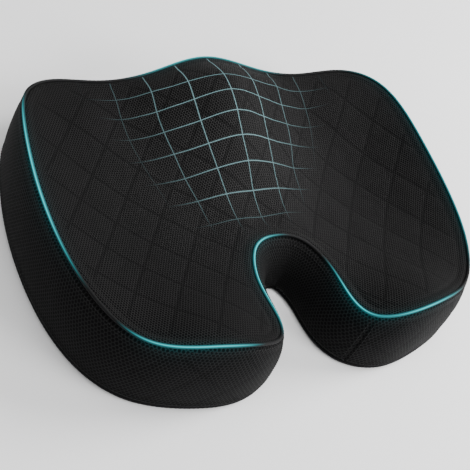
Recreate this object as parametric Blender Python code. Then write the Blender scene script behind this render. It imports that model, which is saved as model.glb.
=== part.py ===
"""Contoured U-shaped seat cushion: moulded foam core in a zipped mesh-fabric cover.

Lies flat on z = 0. +Y is the front (thigh) edge, the rear notch opens towards -Y,
+X is the sitter's right, +Z is up. Everything below is worked out in millimetres and
written to the meshes in metres.
"""
import bpy
import numpy as np
from math import sin, cos, radians, pi, sqrt

MM = 0.001

# ------------------------------------------------------------------ driving dimensions (mm)
# Half outline of the top seam, front centre round to the notch apex: x, y, height of seam,
# and how far the wall stands out from the seam near its foot.
SEAM = [
    (0, 165, 78, 5), (58, 156, 69, 5), (111, 151, 63, 6), (159, 150, 68, 7),
    (192, 132, 76, 8), (207, 91, 81, 10), (212, 30, 77, 14), (208, -37, 74, 16),
    (193, -94, 73, 16), (164, -133, 75, 14), (120, -151, 85, 14), (79, -156, 82, 14),
    (51, -147, 69, 13), (41, -122, 61, 20), (40, -84, 56, 24), (26, -50, 54, 26),
    (0, -40, 53, 27)]
# Heights of the seat surface in rows across the cushion: y of the row, then (x, height).
PAD_ROWS = [
    (127, [(0, 94), (37, 85), (71, 73), (106, 63), (140, 67)]),      # raised pommel at the front
    (107, [(0, 94), (40, 80), (72, 66), (105, 58), (135, 64)]),
    (85, [(0, 88), (36, 75), (70, 61), (103, 53), (135, 59)]),
    (63, [(0, 78), (34, 68), (66, 56), (101, 48), (130, 51)]),       # thigh troughs
    (37, [(0, 67), (31, 60), (61, 48), (100, 43), (130, 46)]),
    (14, [(0, 54), (30, 53), (59, 46), (90, 42), (130, 45)]),
    (-14, [(0, 47), (28, 49), (55, 44), (90, 43), (130, 46)]),       # seat bowls
    (100, [(165, 68)]), (50, [(170, 60)]), (0, [(170, 58)]),         # side bolsters
    (-50, [(80, 49), (120, 51), (168, 60)]), (-90, [(80, 60), (120, 62)]),
    (-95, [(160, 67)]), (-125, [(85, 75)]), (-122, [(120, 77)])]     # rear lobes
ORIGIN_Y = 1.0              # shift that brings the middle of the box onto the origin

FOOT_Z = 7.0                # height at which the wall stands out furthest
FOOT_TUCK = 3.0             # how far the wall turns back in under that
COVER_T = 2.5               # spacer-mesh cover fabric
LINER_T = 0.7               # inner liner
GAP = 0.3                   # between neighbouring layers
EASE = 0.7                  # looser fit of liner in cover and foam in liner
BASE_T = 1.5                # anti-slip base panel
PIPE_R = 1.8                # piping along the top seam
WELT_R = 1.5                # cord along the bottom seam

FRONT_R = 700.0             # plan radius of the front face, which carries the zip
FRONT_Y = 167.5             # front face at the centre line
FRONT_X = 122.0             # half width of the zipped stretch
ZIP_Z = 30.0                # height of the zip
ZIP_X = 100.0               # half length of the coil
ZIP_SLOT = 6.0              # half height of the slot between the front bands
SLIDER_X = 92.0             # where the slider stands when the zip is closed

NU, NV = 12, 16             # facets across and along each half of the seat
T_FRONT, T_REAR = 3.75, 12.0    # corner stations: front outer corner, notch corner


# ------------------------------------------------------------------ curves and surfaces
def closed_spline(rows):
    """Smooth periodic cubic through the rows; its parameter is the row number."""
    P = np.asarray(rows, float)
    n = len(P)
    A = np.zeros((n, n))
    R = np.zeros_like(P)
    for i in range(n):
        A[i, i] = 4
        A[i, i - 1] = 1
        A[i, (i + 1) % n] = 1
        R[i] = 6 * (P[(i + 1) % n] - 2 * P[i] + P[i - 1])
    M = np.linalg.solve(A, R)

    def at(t):
        t = np.asarray(t, float) % n
        i = np.floor(t).astype(int) % n
        u = (t - np.floor(t))[:, None]
        j = (i + 1) % n
        return ((1 - u) * P[i] + u * P[j] + ((1 - u) ** 3 - (1 - u)) * M[i] / 6
                + (u ** 3 - u) * M[j] / 6)
    return at


HALF = len(SEAM) - 1
LOOP = 2 * HALF                              # 32 stations round the whole seam
seam_at = closed_spline(SEAM + [(-r[0],) + r[1:] for r in SEAM[-2:0:-1]])


def ring(t):
    """Seam points, outward plan normals and flare at loop parameters t (0 to 32)."""
    t = np.atleast_1d(np.asarray(t, float))
    P = seam_at(t)
    d = seam_at(t + 1e-3)[:, :2] - seam_at(t - 1e-3)[:, :2]
    d /= np.linalg.norm(d, axis=1)[:, None]
    n = np.stack([-d[:, 1], d[:, 0]], 1)
    return P[:, :3], n, P[:, 3]


def thin_plate(points, slack):
    """Height function of the smoothest plate through the points."""
    points = np.asarray(points, float)
    X = points[:, :2] / 100
    def kernel(r2):
        return np.where(r2 > 0, .5 * r2 * np.log(np.maximum(r2, 1e-12)), 0)
    K = kernel(((X[:, None] - X[None]) ** 2).sum(-1)) + np.diag(slack)
    Q = np.c_[np.ones(len(X)), X]
    A = np.block([[K, Q], [Q.T, np.zeros((3, 3))]])
    s = np.linalg.solve(A, np.r_[points[:, 2], 0, 0, 0])

    def height(x, y):
        q = np.stack([np.ravel(x), np.ravel(y)], 1) / 100
        z = kernel(((q[:, None] - X[None]) ** 2).sum(-1)) @ s[:-3] + s[-3] + q @ s[-2:]
        return z.reshape(np.shape(x))
    return height


def seat_height():
    rim = seam_at(np.arange(0, LOOP, .5))[:, :3]
    pad = [(side * x, y, z) for y, row in PAD_ROWS for x, z in row for side in ((1, -1) if x else (1,))]
    return thin_plate(np.vstack([rim, pad]), np.r_[np.zeros(len(rim)), np.full(len(pad), .002)])


seat = seat_height()


def seat_below(x, y, d):
    """Seat surface moved down by d measured square to it."""
    gx = (seat(x + .5, y) - seat(x - .5, y))
    gy = (seat(x, y + .5) - seat(x, y - .5))
    return seat(x, y) - d * np.sqrt(1 + gx ** 2 + gy ** 2)


def smooth(a, b, v):
    s = np.clip((v - a) / (b - a), 0, 1)
    return s * s * (3 - 2 * s)


def front_y(x):
    return FRONT_Y - FRONT_R + np.sqrt(FRONT_R ** 2 - np.asarray(x) ** 2)


def wall(t, z, inset=0.0, zip_relief=0.0):
    """Points on the side wall at loop parameters t and heights z, moved in by inset."""
    t = np.atleast_1d(np.asarray(t, float))
    P, n, flare = ring(t)
    z = np.broadcast_to(np.asarray(z, float), t.shape)
    w = np.clip((P[:, 2] - z) / np.maximum(P[:, 2] - FOOT_Z, 1), 0, 1)
    out = flare * (1 - (1 - w) ** 2) ** .8
    out = out - FOOT_TUCK * np.clip(1 - z / FOOT_Z, 0, 1) ** 2
    q = P[:, :2] + n * out[:, None]
    # the zipped front face: a plain arc in plan, upright behind the zip
    on_front = (1 - smooth(FRONT_X, FRONT_X + 28, np.abs(q[:, 0]))) * (P[:, 1] > 0)
    x = np.clip(q[:, 0], -200, 200)
    y = front_y(x) - (front_y(x) - P[:, 1]) * smooth(ZIP_Z + 14, P[:, 2] - 1, z) \
        - FOOT_TUCK * np.clip(1 - z / 12, 0, 1) ** 2
    q[:, 1] += (y - q[:, 1]) * on_front
    relief = zip_relief * (1 - smooth(FRONT_X - 8, FRONT_X + 12, np.abs(q[:, 0]))) * (P[:, 1] > 0) \
        * smooth(5, 14, z) * (1 - smooth(ZIP_Z + 15, ZIP_Z + 24, z))
    q = q - n * (inset + relief)[:, None]
    q[np.abs(P[:, 0]) < 1e-6, 0] = 0
    return np.c_[q, z]


def even(t0, t1, n):
    """n + 1 loop parameters from t0 to t1, evenly spaced along the seam."""
    tt = np.linspace(t0, t1, 400)
    d = np.linalg.norm(np.diff(seam_at(tt)[:, :2], axis=0), axis=1)
    L = np.r_[0, np.cumsum(d)]
    return np.interp(np.linspace(0, L[-1], n + 1), L, tt)


def t_at_x(x):
    """Loop parameter where the front edge reaches a given x."""
    tt = np.linspace(0, 3.5, 2000)
    return float(np.interp(x, seam_at(tt)[:, 0], tt))


T_ZIP = t_at_x(FRONT_X)


def loop_params():
    """Loop parameters of the facets, the same for every layer, once round."""
    a, b, c = even(0, T_FRONT, NU), even(T_FRONT, T_REAR, NV), even(HALF, T_REAR, NU)
    half = np.r_[a, b[1:], c[::-1][1:]]
    return np.r_[half, (LOOP - half[::-1])[1:-1]]


TT = loop_params()


def half_grid(inset):
    """Plan grid over the right half, (NV+1, NU+1, 2), blended from its four edges."""
    def edge(t):
        P, n, _ = ring(t)
        q = P[:, :2] - n * inset
        q[np.abs(P[:, 0]) < 1e-6, 0] = 0
        return q
    a, b, c = edge(even(0, T_FRONT, NU)), edge(even(T_FRONT, T_REAR, NV)), edge(even(HALF, T_REAR, NU))
    d = np.stack([np.zeros(NV + 1), np.linspace(a[0, 1], c[0, 1], NV + 1)], 1)
    u = np.linspace(0, 1, NU + 1)[None, :, None]
    v = np.linspace(0, 1, NV + 1)[:, None, None]
    return ((1 - v) * a[None] + v * c[None] + (1 - u) * d[:, None] + u * b[:, None]
            - (1 - u) * (1 - v) * a[0] - u * (1 - v) * a[-1] - (1 - u) * v * c[0] - u * v * c[-1])


def full_grid(inset):
    """Plan grid over both halves, (NV+1, 2*NU+1, 2), x increasing along each row."""
    g = half_grid(inset)
    left = g[:, :0:-1].copy()
    left[..., 0] *= -1
    return np.concatenate([left, g], 1)


def grid_rim(ni, nj):
    """Indices round the border of a full grid, in the order of TT (from the front centre, clockwise)."""
    idx = lambda i, j: i * nj + j
    m = nj // 2
    r = [idx(0, j) for j in range(m, nj)] + [idx(i, nj - 1) for i in range(1, ni)]
    r += [idx(ni - 1, j) for j in range(nj - 2, -1, -1)] + [idx(i, 0) for i in range(ni - 2, -1, -1)]
    r += [idx(0, j) for j in range(1, m)]
    return r


# ------------------------------------------------------------------ objects
def colour(name, rgb, rough, metal=0.0):
    m = bpy.data.materials.new(name)
    m.use_nodes = True
    b = m.node_tree.nodes["Principled BSDF"]
    b.inputs["Base Color"].default_value = (*rgb, 1)
    b.inputs["Roughness"].default_value = rough
    b.inputs["Metallic"].default_value = metal
    m.diffuse_color = (*rgb, 1)
    return m


def add(name, pts, faces, mat, smooth_angle=40, parent=None, origin=(0, 0, 0)):
    """One named object from points in millimetres; origin is where its own origin sits."""
    P = np.asarray(pts, float) + (0, ORIGIN_Y, 0) - np.asarray(origin, float)
    me = bpy.data.meshes.new(name)
    me.from_pydata([tuple(p * MM) for p in P], [], [tuple(int(i) for i in f) for f in faces])
    me.validate()
    me.shade_smooth()
    me.set_sharp_from_angle(angle=radians(smooth_angle))
    me.materials.append(mat)
    ob = bpy.data.objects.new(name, me)
    bpy.context.scene.collection.objects.link(ob)
    ob.location = tuple(np.asarray(origin, float) * MM)
    if parent:
        ob.parent = parent
        ob.location = (0, 0, 0)
    return ob


def ring_quads(a, b):
    """Quads between two closed rings of indices."""
    n = len(a)
    return [(a[i], a[(i + 1) % n], b[(i + 1) % n], b[i]) for i in range(n)]


def solid_of_rings(rings, cap=True):
    """Closed solid from a stack of open or closed rings, first ring lowest, clockwise seen from above."""
    n = len(rings[0])
    pts = np.concatenate(rings)
    idx = [list(range(k * n, k * n + n)) for k in range(len(rings))]
    faces = []
    for lo, hi in zip(idx[:-1], idx[1:]):
        faces += [f[::-1] for f in ring_quads(lo, hi)]
    faces += [tuple(idx[0]), tuple(idx[-1][::-1])]
    return pts, faces


FOOT = 2.2 + WELT_R + .5     # lower edge of the side bands, just above the bottom cord


def levels(t):
    """Heights of the wall's rows at loop parameters t, the same for every layer."""
    top = ring(t)[0][:, 2] - PIPE_R - .5
    flat = np.ones(len(top))
    a = ZIP_Z + 14
    return [FOOT * flat, 14 * flat, (ZIP_Z - ZIP_SLOT) * flat, (ZIP_Z + ZIP_SLOT) * flat, a * flat,
            a + (top - a) * .4, a + (top - a) * .75, top]


def body(d, relief, base):
    """Skin of the whole cushion moved in by d: points, faces, and where each wall row's faces start."""
    g = full_grid(d + .4)
    ni, nj = g.shape[:2]
    top = np.c_[g.reshape(-1, 2), seat_below(g[..., 0], g[..., 1], d).ravel()]
    pts = [top]
    rim = grid_rim(ni, nj)
    faces = []
    for i in range(ni - 1):
        for j in range(nj - 1):
            a = i * nj + j
            faces.append((a, a + nj, a + nj + 1, a + 1))
    n = len(TT)
    prev, count, rows_of = rim, len(top), []
    for k, z in enumerate(levels(TT)[6:0:-1] + [np.full(n, float(base))]):
        z = np.minimum(z, top[rim, 2] - 1.0 - k)         # always below the edge of the seat
        pts.append(wall(TT, z, d, relief))
        cur = list(range(count, count + n))
        count += n
        rows_of.append(len(faces))
        faces += ring_quads(prev, cur)
        prev = cur
    faces.append(tuple(prev))
    # quads above run rim -> wall clockwise seen from above, so they face out
    return np.concatenate(pts), faces, rows_of


def fabric_wall(t, rows):
    """A strip of cover fabric on the wall over loop parameters t, with its rows at these heights."""
    return slab(*[np.stack([wall(t, z, inset) for z in rows]) for inset in (0.0, COVER_T)])


def slab(outer, inner, wrap=False):
    """Closed solid between two point grids (rows, columns, 3) of the same size.

    Rows climb and columns run clockwise seen from above, so outer faces out."""
    nr, nc = outer.shape[:2]
    k = nr * nc
    pts = np.concatenate([outer.reshape(-1, 3), inner.reshape(-1, 3)])
    faces = []
    for i in range(nr - 1):
        for j in range(nc - 1):
            a = i * nc + j
            faces.append((a, a + nc, a + nc + 1, a + 1))
            faces.append((k + a, k + a + 1, k + a + nc + 1, k + a + nc))
    for j in range(nc - 1):
        faces.append((j, j + 1, k + j + 1, k + j))
        a = (nr - 1) * nc + j
        faces.append((a, k + a, k + a + 1, a + 1))
    for i in range(nr - 1):
        a, b = i * nc, i * nc + nc - 1
        faces.append((a, k + a, k + a + nc, a + nc))
        faces.append((b, b + nc, k + b + nc, k + b))
    return pts, faces


def cord(centre, radius, sides, closed=True):
    """Round cord along a closed line of centre points; the section stands in the plan normal's plane."""
    n = len(centre)
    d = np.roll(centre, -1, 0) - np.roll(centre, 1, 0)
    d /= np.linalg.norm(d, axis=1)[:, None]
    side = np.stack([-d[:, 1], d[:, 0], np.zeros(n)], 1)
    side /= np.linalg.norm(side, axis=1)[:, None]
    up = np.cross(side, d)
    pts = np.concatenate([centre + radius * (cos(a) * side + sin(a) * up)
                          for a in np.arange(sides) * 2 * pi / sides])
    idx = [list(range(k * n, k * n + n)) for k in range(sides)]
    faces = []
    for k in range(sides):
        faces += [f[::-1] for f in ring_quads(idx[k], idx[(k + 1) % sides])]
    return pts, faces


def turned_out(pts, faces):
    """Faces turned so that the closed mesh has a positive volume."""
    v = 0.0
    for f in faces:
        for k in range(1, len(f) - 1):
            v += np.dot(pts[f[0]], np.cross(pts[f[k]], pts[f[k + 1]]))
    return faces if v > 0 else [f[::-1] for f in faces]


def arc_bar(x0, x1, depth, z, n):
    """Bar along the front arc from x0 to x1; depth and z are (low, high) of its section."""
    phi = np.linspace(np.arcsin(x0 / FRONT_R), np.arcsin(x1 / FRONT_R), n + 1)
    section = [(depth[0], z[0]), (depth[0], z[1]), (depth[1], z[1]), (depth[1], z[0])]
    pts, faces = [], []
    for p in phi:
        for d, h in section:
            r = FRONT_R - d
            pts.append((r * sin(p), FRONT_Y - FRONT_R + r * cos(p), h))
    for i in range(n):
        for j in range(4):
            a, b = i * 4 + j, i * 4 + (j + 1) % 4
            faces.append((a, b, b + 4, a + 4))
    faces += [(3, 2, 1, 0), tuple(n * 4 + j for j in range(4))]
    pts = np.array(pts)
    return pts, turned_out(pts, faces)


def blocks(xs, ys, zs, keep):
    """Closed solid made of the kept cells of a rectangular grid."""
    nx, ny, nz = len(xs) - 1, len(ys) - 1, len(zs) - 1
    on = lambda i, j, k: 0 <= i < nx and 0 <= j < ny and 0 <= k < nz and keep(i, j, k)
    ids, pts, faces = {}, [], []

    def vid(i, j, k):
        if (i, j, k) not in ids:
            ids[(i, j, k)] = len(pts)
            pts.append((xs[i], ys[j], zs[k]))
        return ids[(i, j, k)]
    quads = {(1, 0, 0): [(1, 0, 0), (1, 1, 0), (1, 1, 1), (1, 0, 1)],
             (-1, 0, 0): [(0, 0, 0), (0, 0, 1), (0, 1, 1), (0, 1, 0)],
             (0, 1, 0): [(0, 1, 0), (0, 1, 1), (1, 1, 1), (1, 1, 0)],
             (0, -1, 0): [(0, 0, 0), (1, 0, 0), (1, 0, 1), (0, 0, 1)],
             (0, 0, 1): [(0, 0, 1), (1, 0, 1), (1, 1, 1), (0, 1, 1)],
             (0, 0, -1): [(0, 0, 0), (0, 1, 0), (1, 1, 0), (1, 0, 0)]}
    for i in range(nx):
        for j in range(ny):
            for k in range(nz):
                if on(i, j, k):
                    for (a, b, c), q in quads.items():
                        if not on(i + a, j + b, k + c):
                            faces.append(tuple(vid(i + u, j + v, k + w) for u, v, w in q))
    return np.array(pts, float), faces


# ------------------------------------------------------------------ the model
def build():
    for ob in list(bpy.data.objects):
        bpy.data.objects.remove(ob, do_unlink=True)

    foam = colour("memory_foam", (.86, .84, .76), .9)
    knit = colour("liner_knit", (.80, .80, .78), .95)
    mesh = colour("air_mesh", (.022, .022, .024), .8)
    teal = colour("edge_piping", (.06, .70, .72), .45)
    black = colour("seam_cord", (.015, .015, .016), .7)
    grip = colour("grip_fabric", (.03, .03, .032), .85)
    tape = colour("zip_tape", (.02, .02, .022), .85)
    nylon = colour("zip_nylon", (.03, .03, .032), .4)
    metal = colour("zip_metal", (.05, .05, .055), .35, .9)
    satin = colour("label_satin", (.82, .82, .80), .5)

    under = BASE_T + GAP

    # foam core, and the knitted liner round it with its mouth behind the zip
    do, di = COVER_T + EASE, COVER_T + EASE + LINER_T
    pts, faces, _ = body(di + 2 * EASE, 3.2, under + LINER_T + GAP)
    add("foam_core", pts, turned_out(pts, faces), foam)

    po, faces, rows_of = body(do, 3.2, under)
    pi_, _, _ = body(di, 3.2, under + LINER_T)
    n = len(TT)
    mouth = {rows_of[4] + i for i in range(n) if i < 5 or i >= n - 5}      # the row behind the zip
    outer = [f for k, f in enumerate(faces) if k not in mouth]
    k = len(po)
    edges = {}
    for f in outer:
        for a, b in zip(f, f[1:] + f[:1]):
            edges[(a, b)] = 1
    rims = [(b, a, a + k, b + k) for (a, b) in edges if (b, a) not in edges]
    pts = np.concatenate([po, pi_])
    faces = outer + [tuple(v + k for v in f[::-1]) for f in outer] + rims
    add("inner_liner", pts, turned_out(pts, faces), knit)

    # cover: seat panel
    g = full_grid(COVER_T + .4)
    z0 = seat(g[..., 0], g[..., 1])
    z1 = seat_below(g[..., 0], g[..., 1], COVER_T)
    pts, faces = slab(np.dstack([g, z0]), np.dstack([g, z1]))
    add("cover_top_panel", pts, turned_out(pts, faces), mesh)

    # cover: side bands, cut at the notch corners and where the zipped front begins
    seam_gap = .012                                 # in loop parameter, about 0.3 mm

    def span(t0, t1):
        inner = [t for t in np.r_[TT, TT + LOOP] if t0 + .15 < t < t1 - .15]
        return np.array([t0 + seam_gap / 2, *inner, t1 - seam_gap / 2])

    notch0, notch1 = T_REAR, LOOP - T_REAR
    for name, t0, t1 in (("band_right", T_ZIP, notch0), ("band_notch", notch0, notch1),
                         ("band_left", notch1, LOOP - T_ZIP)):
        t = span(t0, t1)
        pts, faces = fabric_wall(t, levels(t))
        add(name, pts, turned_out(pts, faces), mesh)
    tz = span(LOOP - T_ZIP, LOOP + T_ZIP)
    pts, faces = fabric_wall(tz, levels(tz)[3:])
    add("band_front_upper", pts, turned_out(pts, faces), mesh)
    pts, faces = fabric_wall(tz, levels(tz)[:3])
    add("band_front_lower", pts, turned_out(pts, faces), mesh)

    # cover: base panel, flat on the floor
    rim = wall(TT, 0.0, 0)
    P, nrm, flare = ring(TT)
    low = rim.copy()
    low[:, :2] -= nrm * 1.6
    low[np.abs(P[:, 0]) < 1e-6, 0] = 0
    high = low.copy()
    high[:, 2] = BASE_T
    pts, faces = solid_of_rings([low, high])
    add("cover_bottom_panel", pts, turned_out(pts, faces), grip)

    # piping along the top seam, cord along the bottom seam
    pts, faces = cord(ring(TT)[0], PIPE_R, 8)
    add("piping_top", pts, turned_out(pts, faces), teal)
    c = wall(TT, 2.2, 0)
    c[:, :2] += nrm * .1
    pts, faces = cord(c, WELT_R, 6)
    add("welt_bottom", pts, turned_out(pts, faces), black)

    # zip along the front arc
    tx = FRONT_X - 1.0
    for name, lo, hi in (("zip_tape_upper", 1.2, 13), ("zip_tape_lower", -13, -1.2)):
        pts, faces = arc_bar(-tx, tx, (3.0, 3.6), (ZIP_Z + lo, ZIP_Z + hi), 24)
        add(name, pts, faces, tape)
    for name, lo, hi in (("zip_coil_upper", .55, 3.1), ("zip_coil_lower", -3.1, -.55)):
        pts, faces = arc_bar(-ZIP_X, ZIP_X, (.6, 2.7), (ZIP_Z + lo, ZIP_Z + hi), 40)
        add(name, pts, faces, nylon)
    for name, x0, x1 in (("zip_stop_open", -ZIP_X - 3.4, -ZIP_X - .4), ("zip_stop_closed", ZIP_X + .4, ZIP_X + 3.4)):
        pts, faces = arc_bar(x0, x1, (.2, 2.7), (ZIP_Z - 3.4, ZIP_Z + 3.4), 1)
        add(name, pts, faces, metal)
    for name, side in (("zip_end_left", -1), ("zip_end_right", 1)):
        ta, tb = t_at_x(ZIP_X + 6), T_ZIP - seam_gap / 2
        t = np.linspace(ta, tb, 3) if side > 0 else LOOP - np.linspace(tb, ta, 3)
        pts, faces = fabric_wall(t, (ZIP_Z - ZIP_SLOT + GAP, ZIP_Z + ZIP_SLOT - GAP))
        add(name, pts, turned_out(pts, faces), mesh)

    # slider: two plates round the coils, joined by a thin neck, with a crown for the pull
    phi = np.arcsin(SLIDER_X / FRONT_R)
    axis = (0, FRONT_Y - FRONT_R + ORIGIN_Y, ZIP_Z)
    track = bpy.data.objects.new("zip_track_axis", None)
    bpy.context.scene.collection.objects.link(track)
    track.location = tuple(np.array(axis) * MM)

    def on_arc(p):
        """Slider frame (along, out, up from the coil's middle line) to the cushion's frame."""
        p = np.asarray(p, float)
        r = FRONT_R + p[:, 1]
        x = p[:, 0] * cos(phi) + r * sin(phi)
        y = FRONT_Y - FRONT_R - p[:, 0] * sin(phi) + r * cos(phi)
        return np.stack([x, y, ZIP_Z + p[:, 2]], 1)

    xs = [-6.5, -3.2, -2.2, 2.2, 3.2, 6.0]
    ys = [-4.9, -3.9, -.3, .9, 2.6, 3.4]
    zs = [-4.5, -1.0, -.3, .3, 1.0, 4.5]

    def keep(i, j, k):
        if j in (0, 2):
            return True                              # lower and upper plate
        if j == 1:
            return i == 4 and k == 2                 # neck between the coils, at the closed end
        if j == 3:
            return i in (1, 3) and k in (1, 2, 3)    # crown posts
        return i in (1, 2, 3) and k in (1, 2, 3)     # crown bar
    pts, faces = blocks(xs, ys, zs, keep)
    pts = on_arc(pts)
    add("zip_slider", pts, turned_out(pts, faces), metal, 30, track, axis)

    # pull tab: cross bar under the crown, two cheeks, and a plate
    px = [-27, -24, -21.5, -7.5, -6, -.6, .6]
    pz = [-3.6, -2.4, -1.5, 1.5, 2.4, 3.6]
    py = [1.25, 2.25]

    def keep(i, j, k):
        if i == 0:
            return k in (1, 2, 3)                    # narrowed tip
        if i in (1, 3):
            return True
        if i == 2:
            return k != 2 or False                   # slot through the plate
        if i == 4:
            return k in (1, 3)                       # cheeks
        return k in (1, 2, 3)                        # cross bar
    pts, faces = blocks(px, py, pz, keep)
    pts = on_arc(pts)
    pivot = on_arc(np.array([[0, 1.75, 0]]))[0] + (0, ORIGIN_Y, 0)
    hinge = bpy.data.objects.new("zip_pull_axis", None)
    bpy.context.scene.collection.objects.link(hinge)
    hinge.parent = track
    hinge.location = tuple((pivot - np.array(axis)) * MM)
    add("zip_pull", pts, turned_out(pts, faces), metal, 30, hinge, pivot)

    # blank care label in the bottom seam, on the right beside the zip
    t = np.linspace(t_at_x(132), t_at_x(132) + .32, 4)
    rows = ((4.8, .2), (14, .7), (24, .3))
    outer = np.stack([wall(t, z, -1.6 - b) for z, b in rows])
    inner = np.stack([wall(t, z, -1.1 - b) for z, b in rows])
    pts, faces = slab(outer, inner)
    add("care_label", pts, turned_out(pts, faces), satin)


build()
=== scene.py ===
import bpy
import bmesh
import numpy as np
from math import sin, cos, pi, radians, asin
from mathutils import Vector, Matrix, kdtree


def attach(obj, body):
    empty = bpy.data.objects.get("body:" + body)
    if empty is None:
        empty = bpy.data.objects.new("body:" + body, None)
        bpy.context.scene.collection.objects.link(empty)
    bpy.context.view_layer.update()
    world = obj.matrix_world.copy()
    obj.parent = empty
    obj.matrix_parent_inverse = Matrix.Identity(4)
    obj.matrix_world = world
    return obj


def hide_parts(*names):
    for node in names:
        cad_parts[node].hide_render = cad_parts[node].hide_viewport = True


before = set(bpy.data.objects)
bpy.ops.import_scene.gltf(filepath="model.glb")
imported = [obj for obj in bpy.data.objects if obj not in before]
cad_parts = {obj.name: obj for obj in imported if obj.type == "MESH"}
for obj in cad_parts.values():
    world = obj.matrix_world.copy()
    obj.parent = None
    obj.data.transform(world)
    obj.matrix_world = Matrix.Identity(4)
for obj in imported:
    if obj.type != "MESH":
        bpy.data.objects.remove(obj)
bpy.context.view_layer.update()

BODY = "root"
MM = 0.001
SHIFT = np.array([0.0, 1.0, 0.0])

# ------------------------------------------------------------------ the design's own lines
SEAM = [
    (0, 165, 78, 5), (58, 156, 69, 5), (111, 151, 63, 6), (159, 150, 68, 7),
    (192, 132, 76, 8), (207, 91, 81, 10), (212, 30, 77, 14), (208, -37, 74, 16),
    (193, -94, 73, 16), (164, -133, 75, 14), (120, -151, 85, 14), (79, -156, 82, 14),
    (51, -147, 69, 13), (41, -122, 61, 20), (40, -84, 56, 24), (26, -50, 54, 26),
    (0, -40, 53, 27)]
PAD_ROWS = [
    (127, [(0, 94), (37, 85), (71, 73), (106, 63), (140, 67)]),
    (107, [(0, 94), (40, 80), (72, 66), (105, 58), (135, 64)]),
    (85, [(0, 88), (36, 75), (70, 61), (103, 53), (135, 59)]),
    (63, [(0, 78), (34, 68), (66, 56), (101, 48), (130, 51)]),
    (37, [(0, 67), (31, 60), (61, 48), (100, 43), (130, 46)]),
    (14, [(0, 54), (30, 53), (59, 46), (90, 42), (130, 45)]),
    (-14, [(0, 47), (28, 49), (55, 44), (90, 43), (130, 46)]),
    (100, [(165, 68)]), (50, [(170, 60)]), (0, [(170, 58)]),
    (-50, [(80, 49), (120, 51), (168, 60)]), (-90, [(80, 60), (120, 62)]),
    (-95, [(160, 67)]), (-125, [(85, 75)]), (-122, [(120, 77)])]
FOOT_Z, FOOT_TUCK, COVER_T, GAP, BASE_T, PIPE_R, WELT_R = 7.0, 3.0, 2.5, 0.3, 1.5, 1.8, 1.5
FRONT_R, FRONT_Y, FRONT_X, ZIP_Z, ZIP_X, ZIP_SLOT, SLIDER_X = 700.0, 167.5, 122.0, 30.0, 100.0, 6.0, 92.0
T_FRONT, T_REAR = 3.75, 12.0
FOOT = 2.2 + WELT_R + .5
FINE_U, FINE_V, STEP = 160, 208, 4          # facets of the fine seat panel, and every how many a coarse one


def closed_spline(rows):
    P = np.asarray(rows, float)
    n = len(P)
    A = np.zeros((n, n))
    R = np.zeros_like(P)
    for i in range(n):
        A[i, i] = 4
        A[i, i - 1] = 1
        A[i, (i + 1) % n] = 1
        R[i] = 6 * (P[(i + 1) % n] - 2 * P[i] + P[i - 1])
    M = np.linalg.solve(A, R)

    def at(t):
        t = np.asarray(t, float) % n
        i = np.floor(t).astype(int) % n
        u = (t - np.floor(t))[:, None]
        j = (i + 1) % n
        return ((1 - u) * P[i] + u * P[j] + ((1 - u) ** 3 - (1 - u)) * M[i] / 6
                + (u ** 3 - u) * M[j] / 6)
    return at


HALF = len(SEAM) - 1
LOOP = 2 * HALF
seam_at = closed_spline(SEAM + [(-r[0],) + r[1:] for r in SEAM[-2:0:-1]])


def ring(t):
    t = np.atleast_1d(np.asarray(t, float))
    P = seam_at(t)
    d = seam_at(t + 1e-3)[:, :2] - seam_at(t - 1e-3)[:, :2]
    d /= np.linalg.norm(d, axis=1)[:, None]
    n = np.stack([-d[:, 1], d[:, 0]], 1)
    return P[:, :3], n, P[:, 3]


def thin_plate(points, slack):
    points = np.asarray(points, float)
    X = points[:, :2] / 100

    def kernel(r2):
        return np.where(r2 > 0, .5 * r2 * np.log(np.maximum(r2, 1e-12)), 0)
    K = kernel(((X[:, None] - X[None]) ** 2).sum(-1)) + np.diag(slack)
    Q = np.c_[np.ones(len(X)), X]
    A = np.block([[K, Q], [Q.T, np.zeros((3, 3))]])
    s = np.linalg.solve(A, np.r_[points[:, 2], 0, 0, 0])

    def height(x, y):
        q = np.stack([np.ravel(x), np.ravel(y)], 1) / 100
        z = np.empty(len(q))
        for a in range(0, len(q), 20000):
            c = q[a:a + 20000]
            z[a:a + 20000] = kernel(((c[:, None] - X[None]) ** 2).sum(-1)) @ s[:-3] + s[-3] + c @ s[-2:]
        return z.reshape(np.shape(x))
    return height


def seat_height():
    rim = seam_at(np.arange(0, LOOP, .5))[:, :3]
    pad = [(side * x, y, z) for y, row in PAD_ROWS for x, z in row for side in ((1, -1) if x else (1,))]
    return thin_plate(np.vstack([rim, pad]), np.r_[np.zeros(len(rim)), np.full(len(pad), .002)])


seat = seat_height()


def seat_normal(x, y):
    gx = seat(x + .5, y) - seat(x - .5, y)
    gy = seat(x, y + .5) - seat(x, y - .5)
    n = np.stack([-gx, -gy, np.ones_like(gx)], -1)
    return n / np.linalg.norm(n, axis=-1, keepdims=True)


def smooth(a, b, v):
    s = np.clip((v - a) / (b - a), 0, 1)
    return s * s * (3 - 2 * s)


def bump(v, centre, width):
    return np.exp(-((v - centre) / width) ** 2)


def front_y(x):
    return FRONT_Y - FRONT_R + np.sqrt(FRONT_R ** 2 - np.asarray(x) ** 2)


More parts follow.
